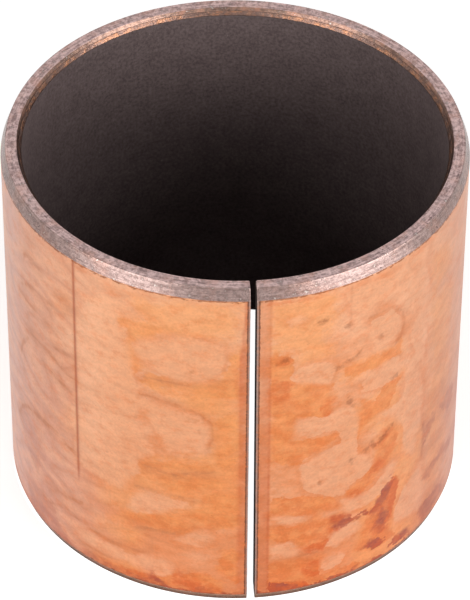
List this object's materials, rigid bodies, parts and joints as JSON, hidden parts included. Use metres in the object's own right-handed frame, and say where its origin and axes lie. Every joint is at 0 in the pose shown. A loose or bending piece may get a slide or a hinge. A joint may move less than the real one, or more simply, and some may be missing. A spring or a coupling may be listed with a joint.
{
  "type": "wrapped composite plain bushing",
  "caption": "Plain sleeve bushing rolled from copper-flashed steel strip, with an open butt joint, chamfered ends and a dark dry-sliding lining in the bore.",
  "frame": {"origin": "centre of the lower end face, on the bore axis", "axes": "+Z along the bore axis, up when the bushing stands on its end; the butt joint faces -Y"},
  "size_m": [0.0552, 0.0552, 0.0492],
  "materials": {
    "copper_flashed_steel": "low-carbon steel with a thin stained copper flash on the outside, bare grey steel on the turned ends",
    "filled_sintered_bronze": "sintered bronze filled and coated with matt charcoal low-friction polymer and graphite"
  },
  "bodies": {
    "root": {"steel_backing": "copper_flashed_steel", "sliding_lining": "filled_sintered_bronze"}
  },
  "joints": []
}
